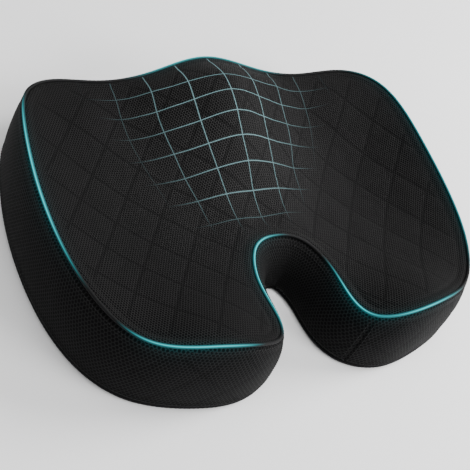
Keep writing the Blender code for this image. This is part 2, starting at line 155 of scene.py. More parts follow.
def wall(t, z, inset=0.0, zip_relief=0.0):
    t = np.atleast_1d(np.asarray(t, float))
    P, n, flare = ring(t)
    z = np.broadcast_to(np.asarray(z, float), t.shape)
    w = np.clip((P[:, 2] - z) / np.maximum(P[:, 2] - FOOT_Z, 1), 0, 1)
    out = flare * (1 - (1 - w) ** 2) ** .8
    out = out - FOOT_TUCK * np.clip(1 - z / FOOT_Z, 0, 1) ** 2
    q = P[:, :2] + n * out[:, None]
    on_front = (1 - smooth(FRONT_X, FRONT_X + 28, np.abs(q[:, 0]))) * (P[:, 1] > 0)
    x = np.clip(q[:, 0], -200, 200)
    y = front_y(x) - (front_y(x) - P[:, 1]) * smooth(ZIP_Z + 14, P[:, 2] - 1, z) \
        - FOOT_TUCK * np.clip(1 - z / 12, 0, 1) ** 2
    q[:, 1] += (y - q[:, 1]) * on_front
    relief = zip_relief * (1 - smooth(FRONT_X - 8, FRONT_X + 12, np.abs(q[:, 0]))) * (P[:, 1] > 0) \
        * smooth(5, 14, z) * (1 - smooth(ZIP_Z + 15, ZIP_Z + 24, z))
    q = q - n * (np.asarray(inset) + relief)[:, None]
    return np.c_[q, z]


def even(t0, t1, n):
    tt = np.linspace(t0, t1, 1600)
    d = np.linalg.norm(np.diff(seam_at(tt)[:, :2], axis=0), axis=1)
    L = np.r_[0, np.cumsum(d)]
    return np.interp(np.linspace(0, L[-1], n + 1), L, tt)


def t_at_x(x):
    tt = np.linspace(0, 3.5, 2000)
    return float(np.interp(x, seam_at(tt)[:, 0], tt))


T_ZIP = t_at_x(FRONT_X)


def loop_params(k=1):
    a, b, c = even(0, T_FRONT, FINE_U)[::k], even(T_FRONT, T_REAR, FINE_V)[::k], even(HALF, T_REAR, FINE_U)[::k]
    half = np.r_[a, b[1:], c[::-1][1:]]
    return np.r_[half, (LOOP - half[::-1])[1:-1]]


def plan_grid(edge, k=1):
    """Plan grid over the whole cushion inside the outline edge(t): (rows from front to notch, columns of rising x)."""
    a, b, c = edge(even(0, T_FRONT, FINE_U)[::k]), edge(even(T_FRONT, T_REAR, FINE_V)[::k]), \
        edge(even(HALF, T_REAR, FINE_U)[::k])
    nu, nv = len(a) - 1, len(b) - 1
    d = np.stack([np.zeros(nv + 1), np.linspace(a[0, 1], c[0, 1], nv + 1)], 1)
    u = np.linspace(0, 1, nu + 1)[None, :, None]
    v = np.linspace(0, 1, nv + 1)[:, None, None]
    g = ((1 - v) * a[None] + v * c[None] + (1 - u) * d[:, None] + u * b[:, None]
         - (1 - u) * (1 - v) * a[0] - u * (1 - v) * a[-1] - (1 - u) * v * c[0] - u * v * c[-1])
    left = g[:, :0:-1].copy()
    left[..., 0] *= -1
    return np.concatenate([left, g], 1)


def seam_inset(d):
    def edge(t):
        P, n, _ = ring(t)
        q = P[:, :2] - n * d
        q[np.abs(P[:, 0]) < 1e-6, 0] = 0
        return q
    return edge


def grid_rim(ni, nj):
    idx = lambda i, j: i * nj + j
    m = nj // 2
    r = [idx(0, j) for j in range(m, nj)] + [idx(i, nj - 1) for i in range(1, ni)]
    r += [idx(ni - 1, j) for j in range(nj - 2, -1, -1)] + [idx(i, 0) for i in range(ni - 2, -1, -1)]
    r += [idx(0, j) for j in range(1, m)]
    return r


# ------------------------------------------------------------------ patterns on the fabric
QUILT = 35.4


def quilt_phase(x, y):
    """The two families of quilting lines as phases: a line runs wherever one is a whole number."""
    a = (-.809 * x + .588 * y - 9.9) / QUILT
    b = (.74 * x + .648 * y + .00037 * x * x - .00085 * x * y - 4.0) / 35.0
    return a, b


def off_line(phase, spacing):
    """Distance in mm to the nearest whole number of the phase."""
    return np.abs((phase + .5) % 1 - .5) * spacing


def print_phase(x, y):
    """Columns and rows of the fine contour grid printed on the front, and how strongly it shows."""
    s = sum(np.interp(y + o, [-60, -14, 14, 37, 63, 85, 107, 200], [26, 28, 29.8, 31.6, 34.4, 36.3, 37, 37])
            for o in (-9, -4.5, 0, 4.5, 9)) / 5
    k = x / s
    k = k * (1 + .0155 * np.abs(k) + .0006 * k * k)
    j = (-19.5 + np.sqrt(np.maximum(380.25 - 2.668 * (y - 127), 1))) / 1.334
    half = np.interp(y, [-30, -14, 37, 127, 170], [52, 64, 96, 143, 150])
    mid = np.interp(y, [-14, 127], [-10, 4])
    f = (1 - smooth(.18, 1.04, np.abs(x - mid) / half)) * smooth(-34, 20, y) * (.72 + .28 * smooth(20, 110, y))
    return k, j, f


# where along the loop the edge piping shows painted teal light, 0 to 1: a glowing edge that is no lamp
PAINTED_GLOW = [(0, 1), (.9, 1), (1.21, .75), (1.6, 0), (3.25, 0), (3.66, .35), (4.28, 1), (7.3, 1), (7.9, .6), (8.5, 0),
        (9.4, 0), (9.9, .45), (10.5, .95), (12.6, 1), (13.3, .8), (13.75, .3), (14.2, 0), (15.6, 0), (16.1, .25),
        (16.7, .9), (17.4, 1), (18.5, 1), (19.2, .7), (19.9, 0), (21.1, 0), (21.6, .7), (22.1, 1), (22.6, 1),
        (22.95, .8), (23.3, .3), (23.55, 0), (24.5, 0), (25.0, .35), (25.7, 1), (26.5, 1), (27.0, .65), (27.45, .2), (27.75, 0), (30.5, 0),
        (30.95, .6), (31.4, 1), (32, 1)]


def painted_glow(t):
    """How strongly the painted teal light shows on the edge piping at loop parameter t, 0 to 1."""
    t = np.asarray(t, float) % LOOP
    g = np.array(PAINTED_GLOW)
    v = sum(np.interp((t + o) % LOOP, g[:, 0], g[:, 1]) for o in (-.18, -.09, 0, .09, .18)) / 5
    return v


# how far each point of the plan is from the seam, and where on it
SEAM_T = np.linspace(0, LOOP, 4801)[:-1]
SEAM_P = seam_at(SEAM_T)[:, :3]
SEAM_L = np.r_[0, np.cumsum(np.linalg.norm(np.diff(np.r_[SEAM_P, SEAM_P[:1]], axis=0), axis=1))]
_tree = kdtree.KDTree(len(SEAM_P))
for _i, _p in enumerate(SEAM_P):
    _tree.insert((_p[0], _p[1], 0), _i)
_tree.balance()


def to_seam(x, y):
    n = x.size
    d, t = np.empty(n), np.empty(n)
    for i, (a, b) in enumerate(zip(x.ravel(), y.ravel())):
        _, k, dist = _tree.find((a, b, 0))
        d[i], t[i] = dist, SEAM_T[k]
    return d.reshape(x.shape), t.reshape(x.shape)


def along(t):
    """Distance along the seam at loop parameter t."""
    return np.interp(np.asarray(t) % LOOP, np.r_[SEAM_T, LOOP], SEAM_L) + np.floor(np.asarray(t) / LOOP) * SEAM_L[-1]


def waves(x, y, seed, size, n=7):
    """Gentle seeded unevenness between -1 and 1, about size mm across."""
    rng = np.random.RandomState(seed)
    v = 0
    for _ in range(n):
        a, ph, s = rng.uniform(0, 2 * pi), rng.uniform(0, 2 * pi), size * rng.uniform(.7, 1.6)
        v = v + np.sin((x * cos(a) + y * sin(a)) * 2 * pi / s + ph)
    return v / n ** .5 / 1.5


# ------------------------------------------------------------------ meshes
def make(name, P, faces, mat, attrs=None, smooth_angle=None, body=BODY, out=True):
    me = bpy.data.meshes.new(name)
    P = (np.asarray(P, float) + SHIFT) * MM
    me.from_pydata(P.tolist(), [], [tuple(map(int, f)) for f in faces])
    if out:
        bm = bmesh.new()
        bm.from_mesh(me)
        bmesh.ops.recalc_face_normals(bm, faces=bm.faces)
        bm.to_mesh(me)
        bm.free()
    me.shade_smooth()
    if smooth_angle:
        me.set_sharp_from_angle(angle=radians(smooth_angle))
    for key, v in (attrs or {}).items():
        v = np.asarray(v, np.float32)
        at = me.attributes.new(key, "FLOAT_VECTOR" if v.ndim == 2 else "FLOAT", "POINT")
        at.data.foreach_set("vector" if v.ndim == 2 else "value", np.ascontiguousarray(v).ravel())
    me.materials.append(mat)
    ob = bpy.data.objects.new(name, me)
    bpy.context.scene.collection.objects.link(ob)
    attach(ob, body)
    return ob


def grid_quads(nr, nc, start=0, wrap=False):
    i, j = np.meshgrid(np.arange(nr - 1), np.arange(nc if wrap else nc - 1), indexing="ij")
    a = start + i * nc + j
    b = start + i * nc + (j + 1) % nc
    return np.stack([a, a + nc, b + nc, b], -1).reshape(-1, 4)


def thick(outer, inner, step=STEP):
    """Closed solid from a fine outer grid and an inner one used at every step-th point; and the point map for attributes."""
    nr, nc = outer.shape[:2]
    ri = sorted(set(range(0, nr, step)) | {nr - 1})
    ci = sorted(set(range(0, nc, step)) | {nc - 1})
    low = inner[np.ix_(ri, ci)]
    k = nr * nc
    mr, mc = len(ri), len(ci)
    faces = [tuple(f) for f in grid_quads(nr, nc)]
    faces += [tuple(f[::-1]) for f in grid_quads(mr, mc, k)]
    for o_row, i_row in ((0, 0), (nr - 1, mr - 1)):
        for a in range(mc - 1):
            run = [o_row * nc + c for c in range(ci[a], ci[a + 1] + 1)]
            faces.append(tuple(run + [k + i_row * mc + a + 1, k + i_row * mc + a]))
    for o_col, i_col in ((0, 0), (nc - 1, mc - 1)):
        for a in range(mr - 1):
            run = [r * nc + o_col for r in range(ri[a], ri[a + 1] + 1)]
            faces.append(tuple(run + [k + (a + 1) * mc + i_col, k + a * mc + i_col]))
    flat = np.arange(k).reshape(nr, nc)[np.ix_(ri, ci)].ravel()
    return np.concatenate([outer.reshape(-1, 3), low.reshape(-1, 3)]), faces, np.r_[np.arange(k), flat]


def tube(line, radius, sides, closed=False, twist=None, up=None):
    """Round cord along a line; radius may vary with (along, around). Returns points, faces, along, angle."""
    line = np.asarray(line, float)
    n = len(line)
    if closed:
        d = np.roll(line, -1, 0) - np.roll(line, 1, 0)
    else:
        d = np.gradient(line, axis=0)
    d /= np.linalg.norm(d, axis=1)[:, None]
    ref = np.tile(np.array(up if up is not None else (0, 0, 1.0)), (n, 1)) if np.ndim(up) < 2 else up
    side = np.cross(ref, d)
    side /= np.linalg.norm(side, axis=1)[:, None]
    top = np.cross(d, side)
    s = np.r_[0, np.cumsum(np.linalg.norm(np.diff(line, axis=0), axis=1))]
    a = np.arange(sides) * 2 * pi / sides
    S, A = np.meshgrid(s, a, indexing="ij")
    r = radius(S, A) if callable(radius) else np.full(S.shape, radius)
    P = line[:, None] + r[..., None] * (np.cos(A)[..., None] * side[:, None] + np.sin(A)[..., None] * top[:, None])
    i, j = np.meshgrid(np.arange(n if closed else n - 1), np.arange(sides), indexing="ij")
    v = lambda i, j: (i % n) * sides + j % sides
    faces = np.stack([v(i, j), v(i, j + 1), v(i + 1, j + 1), v(i + 1, j)], -1).reshape(-1, 4).tolist()
    if not closed:
        faces += [list(range(sides))[::-1], list(range((n - 1) * sides, n * sides))]
    return P.reshape(-1, 3), faces, S.ravel(), A.ravel()


def joined(parts):
    P, F, k = [], [], 0
    for p, f in parts:
        P.append(np.asarray(p))
        F += [tuple(int(v) + k for v in q) for q in f]
        k += len(p)
    return np.concatenate(P), F


def resample(line, pitch, closed=False):
    line = np.asarray(line, float)
    if closed:
        line = np.r_[line, line[:1]]
    L = np.r_[0, np.cumsum(np.linalg.norm(np.diff(line, axis=0), axis=1))]
    n = max(int(round(L[-1] / pitch)), 1)
    s = (np.arange(n) + .5) * L[-1] / n
    return np.stack([np.interp(s, L, line[:, c]) for c in range(3)], 1), \
        np.stack([np.interp(s + .4, L, line[:, c]) - np.interp(s - .4, L, line[:, c]) for c in range(3)], 1)


def stitches(line, normal, pitch=3.2, length=2.3, r=.28, closed=False, lift=.12):
    """A row of short threads lying on the fabric along a line; normal(points) gives the way out of the fabric."""
    c, d = resample(line, pitch, closed)
    d /= np.linalg.norm(d, axis=1)[:, None]
    nrm = normal(c)
    nrm = nrm - d * (nrm * d).sum(1)[:, None]
    nrm /= np.linalg.norm(nrm, axis=1)[:, None]
    side = np.cross(d, nrm)
    prof = [(-.5, .25, -.9), (-.36, .85, -.1), (0, 1, .35), (.36, .85, -.1), (.5, .25, -.9)]   # along, radius, rise
    sides = 6
    P, F = [], []
    base = 0
    for k in range(len(c)):
        for u, q, h in prof:
            m = c[k] + d[k] * u * length + nrm[k] * (lift + h * r)
            for a in range(sides):
                A = 2 * pi * a / sides
                P.append(m + r * q * (cos(A) * side[k] + sin(A) * nrm[k]))
        for i in range(len(prof) - 1):
            for a in range(sides):
                F.append((base + i * sides + a, base + i * sides + (a + 1) % sides,
                          base + (i + 1) * sides + (a + 1) % sides, base + (i + 1) * sides + a))
        F.append(tuple(base + a for a in range(sides))[::-1])
        F.append(tuple(base + (len(prof) - 1) * sides + a for a in range(sides)))
        base += len(prof) * sides
    return np.array(P), F


# ------------------------------------------------------------------ materials
class Shader:
    def __init__(self, name, color=(.5, .5, .5), rough=.6, metal=0.0, spec=.5, sheen=0.0, sheen_rough=.5, coat=0.0):
        self.mat = bpy.data.materials.new(name)
        self.mat.use_nodes = True
        self.nt = self.mat.node_tree
        self.b = self.nt.nodes["Principled BSDF"]
        i = self.b.inputs
        i["Base Color"].default_value = (*color, 1)
        i["Roughness"].default_value = rough
        i["Metallic"].default_value = metal
        i["Specular IOR Level"].default_value = spec
        i["Sheen Weight"].default_value = sheen
        i["Sheen Roughness"].default_value = sheen_rough
        i["Coat Weight"].default_value = coat
        self.mat.diffuse_color = (*color, 1)

    def put(self, socket, v):
        if isinstance(v, bpy.types.NodeSocket):
            self.nt.links.new(v, socket)
        elif isinstance(v, (tuple, list)):
            v = tuple(v)
            socket.default_value = v if len(v) == len(socket.default_value) else (*v, 1)[:len(socket.default_value)]
        else:
            socket.default_value = v

    def math(self, op, *args, clamp=False):
        nd = self.nt.nodes.new("ShaderNodeMath")
        nd.operation, nd.use_clamp = op, clamp
        for k, a in enumerate(args):
            self.put(nd.inputs[k], a)
        return nd.outputs[0]

    def vec(self, op, *args):
        nd = self.nt.nodes.new("ShaderNodeVectorMath")
        nd.operation = op
        for k, a in enumerate(args):
            self.put(nd.inputs[k], a)
        return nd.outputs[1] if op in ("LENGTH", "DISTANCE", "DOT_PRODUCT") else nd.outputs[0]

    def step(self, v, lo, hi, a=0.0, b=1.0):
        """Smooth step of v from a at lo to b at hi."""
        nd = self.nt.nodes.new("ShaderNodeMapRange")
        nd.interpolation_type = "SMOOTHSTEP"
        for k, x in enumerate((v, lo, hi, a, b)):
            self.put(nd.inputs[k], x)
        return nd.outputs[0]

    def mix(self, f, a, b):
        nd = self.nt.nodes.new("ShaderNodeMix")
        nd.data_type = "RGBA"
        self.put(nd.inputs[0], f)
        self.put(nd.inputs[6], a)
        self.put(nd.inputs[7], b)
        return nd.outputs[2]

    def attr(self, name, vector=False):
        nd = self.nt.nodes.new("ShaderNodeAttribute")
        nd.attribute_name = name
        return nd.outputs["Vector"] if vector else nd.outputs["Fac"]

    def place(self):
        return self.nt.nodes.new("ShaderNodeTexCoord").outputs["Object"]

    def noise(self, v, scale, detail=2.0, rough=.5, colour=False):
        nd = self.nt.nodes.new("ShaderNodeTexNoise")
        self.put(nd.inputs["Vector"], v)
        nd.inputs["Scale"].default_value = scale
        nd.inputs["Detail"].default_value = detail
        nd.inputs["Roughness"].default_value = rough
        return nd.outputs["Color"] if colour else nd.outputs[0]

    def voronoi(self, v, scale, feature="F1", random=1.0):
        nd = self.nt.nodes.new("ShaderNodeTexVoronoi")
        nd.feature = feature
        self.put(nd.inputs["Vector"], v)
        nd.inputs["Scale"].default_value = scale
        nd.inputs["Randomness"].default_value = random
        return nd.outputs["Distance"]

    def split(self, v):
        nd = self.nt.nodes.new("ShaderNodeSeparateXYZ")
        self.put(nd.inputs[0], v)
        return nd.outputs[0], nd.outputs[1], nd.outputs[2]

    def join(self, x, y, z=0.0):
        nd = self.nt.nodes.new("ShaderNodeCombineXYZ")
        for k, a in enumerate((x, y, z)):
            self.put(nd.inputs[k], a)
        return nd.outputs[0]

    def relief(self, height, depth, strength=1.0, below=None):
        """Bump from a height of 0 to 1 that is depth metres high."""
        nd = self.nt.nodes.new("ShaderNodeBump")
        nd.inputs["Strength"].default_value = strength
        nd.inputs["Distance"].default_value = depth
        self.put(nd.inputs["Height"], height)
        if below is not None:
            self.put(nd.inputs["Normal"], below)
        self.put(self.b.inputs["Normal"], nd.outputs[0])
        return nd.outputs[0]


def air_mesh(name, printed=False, thread=(.0150, .0146, .0147), size=1.0):
    """Spacer mesh: hexagonally set round holes between knitted threads, with quilting lines, painted shade in the
    holes and quilting grooves, and painted teal light from the edge piping on the fabric beside it.
    """
    s = Shader(name, thread, rough=.75, spec=.06, sheen=.015, sheen_rough=.45)
    fab = s.attr("fab", True)                                     # fabric coordinates in mm
    shake = s.vec("SUBTRACT", s.noise(fab, .35, 1.0, colour=True), (.5, .5, .5))
    p = s.vec("ADD", fab, s.vec("MULTIPLY", shake, (.55, .55, 0)))
    px, py = 2.55 * size, 4.42 * size

    def lattice(dx, dy):
        q = s.vec("DIVIDE", s.vec("ADD", p, (dx, dy, 0)), (px, py, 1))
        f = s.vec("SUBTRACT", s.vec("FRACTION", q), (.5, .5, .5))
        return s.vec("LENGTH", s.vec("MULTIPLY", f, (px * 1.06, py * .94, 0)))
    d = s.math("MINIMUM", lattice(0, 0), lattice(px / 2, py / 2))
    la = s.math("MULTIPLY", s.math("ABSOLUTE", s.math("SUBTRACT", s.math("FRACT", s.math("ADD", s.attr("qa"), .5)), .5)), QUILT)
    lb = s.math("MULTIPLY", s.math("ABSOLUTE", s.math("SUBTRACT", s.math("FRACT", s.math("ADD", s.attr("qb"), .5)), .5)), QUILT)
    off = s.math("MULTIPLY", s.math("SUBTRACT", 1.0, s.attr("qs")), 12.0)
    line = s.math("ADD", s.math("MINIMUM", la, lb), off)
    near = s.step(line, 2.2, .5)                                  # 1 on a quilting line
    shoulder_highlight = s.math("MULTIPLY", s.step(line, 1.4, 2.4), s.step(line, 4.2, 2.6))
    r = s.math("ADD", 1.0 * size, s.math("MULTIPLY", near, .12 * size))
    hole = s.step(s.math("SUBTRACT", d, r), .22 * size, -.20 * size)            # 1 inside a hole
    u, v, _ = s.split(p)
    knit = s.math("MULTIPLY", s.math("ADD", s.math("SINE", s.math("MULTIPLY", v, 2 * pi / .62)), 1.0), .5)
    rib = s.math("MULTIPLY", s.math("ADD", s.math("SINE", s.math("MULTIPLY", u, 2 * pi / .425)), 1.0), .5)
    yarn = s.math("MULTIPLY", knit, rib)
    wear = s.noise(fab, .045, 3.0, .55)
    fuzz = s.noise(fab, 2.6, 2.0, .6)
    tone = s.math("ADD", s.math("MULTIPLY", wear, .45), s.math("ADD", s.math("MULTIPLY", fuzz, .45), .58))
    tone = s.math("MULTIPLY", tone, s.math("ADD", .82, s.math("MULTIPLY", yarn, .4)))
    # painted shade darkens the threads in the quilting grooves; a painted highlight lightens the groove's edges beside
    # them
    tone = s.math("MULTIPLY", tone, s.math("SUBTRACT", 1.0, s.math("MULTIPLY", near, .10)))
    tone = s.math("MULTIPLY", tone, s.math("ADD", 1.0, s.math("MULTIPLY", shoulder_highlight, .12)))
    base = s.vec("SCALE", thread)
    s.put(s.nt.nodes[-1].inputs["Scale"], tone)
    # the holes are painted near black: painted shade of the recess beneath the threads
    colour = s.mix(hole, base, (.0004, .0004, .0005))
    # painted light: teal emission on the fabric beside the glowing piping, weaker in the holes
    painted_edge_light = s.attr("painted_halo")
    lit = s.math("MULTIPLY", painted_edge_light, s.math("SUBTRACT", 1.0, s.math("MULTIPLY", hole, .75)))
    if printed:
        ga = s.math("MULTIPLY", s.math("ABSOLUTE", s.math("SUBTRACT", s.math("FRACT", s.math("ADD", s.attr("ga"), .5)), .5)), 33.0)
        gb = s.math("MULTIPLY", s.math("ABSOLUTE", s.math("SUBTRACT", s.math("FRACT", s.math("ADD", s.attr("gb"), .5)), .5)), 22.0)
        gb = s.math("ADD", gb, s.math("MULTIPLY", s.math("LESS_THAN", s.attr("gb"), -.5), 50.0))
        ink = s.math("MULTIPLY", s.step(s.math("MINIMUM", ga, gb), .60, .26), s.attr("gf"))
        colour = s.mix(ink, colour, (.055, .092, .097))
        # painted light: a faint teal emission around the printed lines
        painted_ink_light = s.math("MULTIPLY", s.step(s.math("MINIMUM", ga, gb), 2.6, .4), s.attr("gf"))
        lit = s.math("ADD", lit, s.math("MULTIPLY", painted_ink_light, .02))
    s.put(s.b.inputs["Base Color"], colour)
    # the painted light becomes teal emission
    shine = s.mix(s.math("MINIMUM", lit, 1.0), (0, 0, 0), (.0, .085, .094))
    # painted light: the printed ink itself is made to shine by emission
    if printed:
        shine = s.mix(s.math("MULTIPLY", ink, .9), shine, (.105, .195, .21))
    s.put(s.b.inputs["Emission Color"], shine)
    s.b.inputs["Emission Strength"].default_value = 1.0
    s.put(s.b.inputs["Roughness"], s.math("ADD", .62, s.math("MULTIPLY", fuzz, .3)))
    h = s.math("MULTIPLY", s.math("SUBTRACT", 1.0, hole), s.math("ADD", .72, s.math("MULTIPLY", yarn, .28)))
    s.relief(h, .00055, .8)
    return s.mat


def piping_mat():
    """Satin-wrapped piping: black, with painted teal light along its crest where it shows: teal base colour and
    emission, no lamp.
    """
    s = Shader("edge_piping", (.005, .005, .0055), rough=.6, spec=.12, sheen=.01)
    g, crest = s.attr("painted_glow"), s.attr("crest")
    weave = s.attr("weave")
    w = s.math("MULTIPLY", s.math("ADD", s.math("SINE", weave), 1.0), .5)
    # painted teal light: a bright emissive core along the crest and a dimmer skirt around it
    core = s.step(crest, .84, .998)
    skirt = s.step(crest, -.35, .75)
    mottled = s.noise(s.place(), 900, 2.0)
    dark = s.mix(s.math("MULTIPLY", w, mottled), (.0035, .0035, .0038), (.009, .009, .0095))
    # the base colour is painted teal where the painted light shows
    k = s.math("MULTIPLY", g, skirt)
    s.put(s.b.inputs["Base Color"], s.mix(k, dark, (.01, .10, .11)))
    # painted light: teal emission over the skirt, brighter over the core
    e1 = s.mix(s.math("MULTIPLY", g, skirt), (0, 0, 0), (.0, .060, .068))
    e2 = s.mix(s.math("MULTIPLY", s.math("MULTIPLY", g, core), s.math("ADD", .86, s.math("MULTIPLY", w, .14))),
               e1, (.01, .92, 1.0))
    s.put(s.b.inputs["Emission Color"], e2)
    s.b.inputs["Emission Strength"].default_value = 1.0
    s.put(s.b.inputs["Roughness"], s.math("ADD", .5, s.math("MULTIPLY", mottled, .22)))
    s.relief(w, .00012, .7)
    return s.mat


def cord_mat(name, a, b, pitch=.5):
    s = Shader(name, a, rough=.7, spec=.1, sheen=.01)
    v = s.noise(s.place(), 700, 3.0)
    w = s.math("MULTIPLY", s.math("ADD", s.math("SINE", s.attr("weave")), 1.0), .5)
    s.put(s.b.inputs["Base Color"], s.mix(s.math("MULTIPLY", v, w), a, b))
    s.put(s.b.inputs["Roughness"], s.math("ADD", .5, s.math("MULTIPLY", v, .3)))
    s.relief(s.math("ADD", s.math("MULTIPLY", w, .7), s.math("MULTIPLY", v, .3)), .0002, .7)
    return s.mat


def thread_mat():
    s = Shader("stitch_thread", (.009, .009, .0095), rough=.6, spec=.15, sheen=.02)
    v = s.noise(s.place(), 1600, 2.0)
    s.put(s.b.inputs["Base Color"], s.mix(v, (.0045, .0045, .005), (.014, .014, .0145)))
    s.put(s.b.inputs["Roughness"], s.math("ADD", .35, s.math("MULTIPLY", v, .25)))
    s.relief(v, .00012, .8)
    return s.mat


def woven(name, a, b, pitch, depth, rough=.75, sheen=.1):
    """Plain weave from the fabric coordinates."""
    s = Shader(name, a, rough=rough, spec=.35, sheen=sheen)
    fab = s.attr("fab", True)
    u, v, _ = s.split(fab)
    k = 2 * pi / pitch
    su, sv = s.math("SINE", s.math("MULTIPLY", u, k)), s.math("SINE", s.math("MULTIPLY", v, k))
    w = s.math("ADD", .5, s.math("MULTIPLY", s.math("MULTIPLY", su, sv), .5))
    n = s.noise(fab, .5, 3.0)
    s.put(s.b.inputs["Base Color"], s.mix(s.math("MULTIPLY", w, s.math("ADD", .5, s.math("MULTIPLY", n, .8))), a, b))
    s.put(s.b.inputs["Roughness"], s.math("ADD", rough - .1, s.math("MULTIPLY", n, .25)))
    s.relief(w, depth, .8)
    return s.mat


def rubber_mat():
    s = Shader("grip_rubber", (.02, .02, .02), rough=.5, spec=.5)
    v = s.noise(s.place(), 500, 3.0)
    s.put(s.b.inputs["Base Color"], s.mix(v, (.012, .012, .013), (.03, .03, .031)))
    s.put(s.b.inputs["Roughness"], s.math("ADD", .42, s.math("MULTIPLY", v, .25)))
    s.relief(v, .0001, .4)
    return s.mat


def nylon_mat():
    s = Shader("zip_nylon", (.02, .02, .021), rough=.32, spec=.5)
    v = s.noise(s.place(), 420, 2.0)
    s.put(s.b.inputs["Base Color"], s.mix(v, (.012, .012, .013), (.032, .032, .034)))
    s.put(s.b.inputs["Roughness"], s.math("ADD", .24, s.math("MULTIPLY", v, .2)))
    s.relief(v, .00005, .4)
    return s.mat


def metal_mat():
    """Black painted zinc, worn a little at its edges."""
    s = Shader("zip_metal", (.03, .03, .032), rough=.32, metal=.85, spec=.5, coat=.25)
    v = s.noise(s.place(), 260, 4.0, .6)
    edge = s.nt.nodes.new("ShaderNodeNewGeometry").outputs["Pointiness"]
    worn = s.math("MULTIPLY", s.step(edge, .515, .56), s.step(v, .42, .62))
    s.put(s.b.inputs["Base Color"], s.mix(worn, s.mix(v, (.022, .022, .024), (.05, .05, .053)), (.34, .33, .32)))
    s.put(s.b.inputs["Roughness"], s.math("ADD", .24, s.math("MULTIPLY", v, .25)))
    s.relief(v, .00004, .5)
    return s.mat


def satin_mat():
    """Off-white satin ribbon: fine floats across."""
    s = Shader("label_satin", (.78, .77, .74), rough=.38, spec=.5, sheen=.2)
    fab = s.attr("fab", True)
    u, v, _ = s.split(fab)
    w = s.math("MULTIPLY", s.math("ADD", s.math("SINE", s.math("MULTIPLY", v, 2 * pi / .3)), 1.0), .5)
    n = s.noise(fab, .8, 3.0)
    s.put(s.b.inputs["Base Color"], s.mix(s.math("MULTIPLY", w, n), (.66, .65, .62), (.84, .83, .80)))
    s.put(s.b.inputs["Roughness"], s.math("ADD", .3, s.math("MULTIPLY", n, .2)))
    s.relief(w, .00006, .6)
    return s.mat


def foam_mat():
    s = Shader("memory_foam", (.80, .76, .64), rough=.9, spec=.2, sheen=.1)
    p = s.place()
    cell = s.voronoi(p, 900)
    n = s.noise(p, 30, 4.0)
    s.put(s.b.inputs["Base Color"], s.mix(s.math("MULTIPLY", cell, n), (.82, .79, .68), (.66, .61, .48)))
    s.put(s.b.inputs["Roughness"], s.math("ADD", .8, s.math("MULTIPLY", n, .18)))
    s.relief(cell, .0003, .6)
    return s.mat


def floor_mat():
    s = Shader("studio_floor", (.90, .90, .905), rough=.6, spec=.2)
    n = s.noise(s.place(), 3.0, 2.0)
    s.put(s.b.inputs["Base Color"], s.mix(n, (.895, .895, .90), (.915, .915, .92)))
    s.put(s.b.inputs["Roughness"], s.math("ADD", .55, s.math("MULTIPLY", n, .1)))
    return s.mat


M_TOP = air_mesh("air_mesh_seat", printed=True)
# the band mesh is a darker copy of the seat mesh: its darker thread colour is painted shade on the side walls
M_BAND = air_mesh("air_mesh_band", thread=(.0094, .0093, .0095), size=1.35)
M_PIPE = piping_mat()
M_WELT = cord_mat("seam_cord", (.006, .006, .0065), (.022, .022, .023))
M_THREAD = thread_mat()
M_TAPE = woven("zip_tape", (.006, .006, .0065), (.03, .03, .032), .7, .0002)
M_BASE = woven("grip_fabric", (.008, .008, .0085), (.034, .034, .036), 1.2, .0003)
M_LINER = woven("liner_knit", (.62, .62, .60), (.84, .84, .82), 1.0, .0003, rough=.9)
M_RUBBER, M_NYLON, M_METAL, M_SATIN, M_FOAM = rubber_mat(), nylon_mat(), metal_mat(), satin_mat(), foam_mat()


# ------------------------------------------------------------------ cloth simulation of the cover's puff
def wall_rows(t, fr, top_drop):
    """Heights of wall rows at fractions fr from the foot to just below the seam."""
    top = ring(t)[0][:, 2] - top_drop
    return [FOOT + (top - FOOT) * f for f in fr]


SIM_ROWS = np.array([.96, .84, .70, .56, .42, .28, .14, 0.0])      # from the seam down to the foot


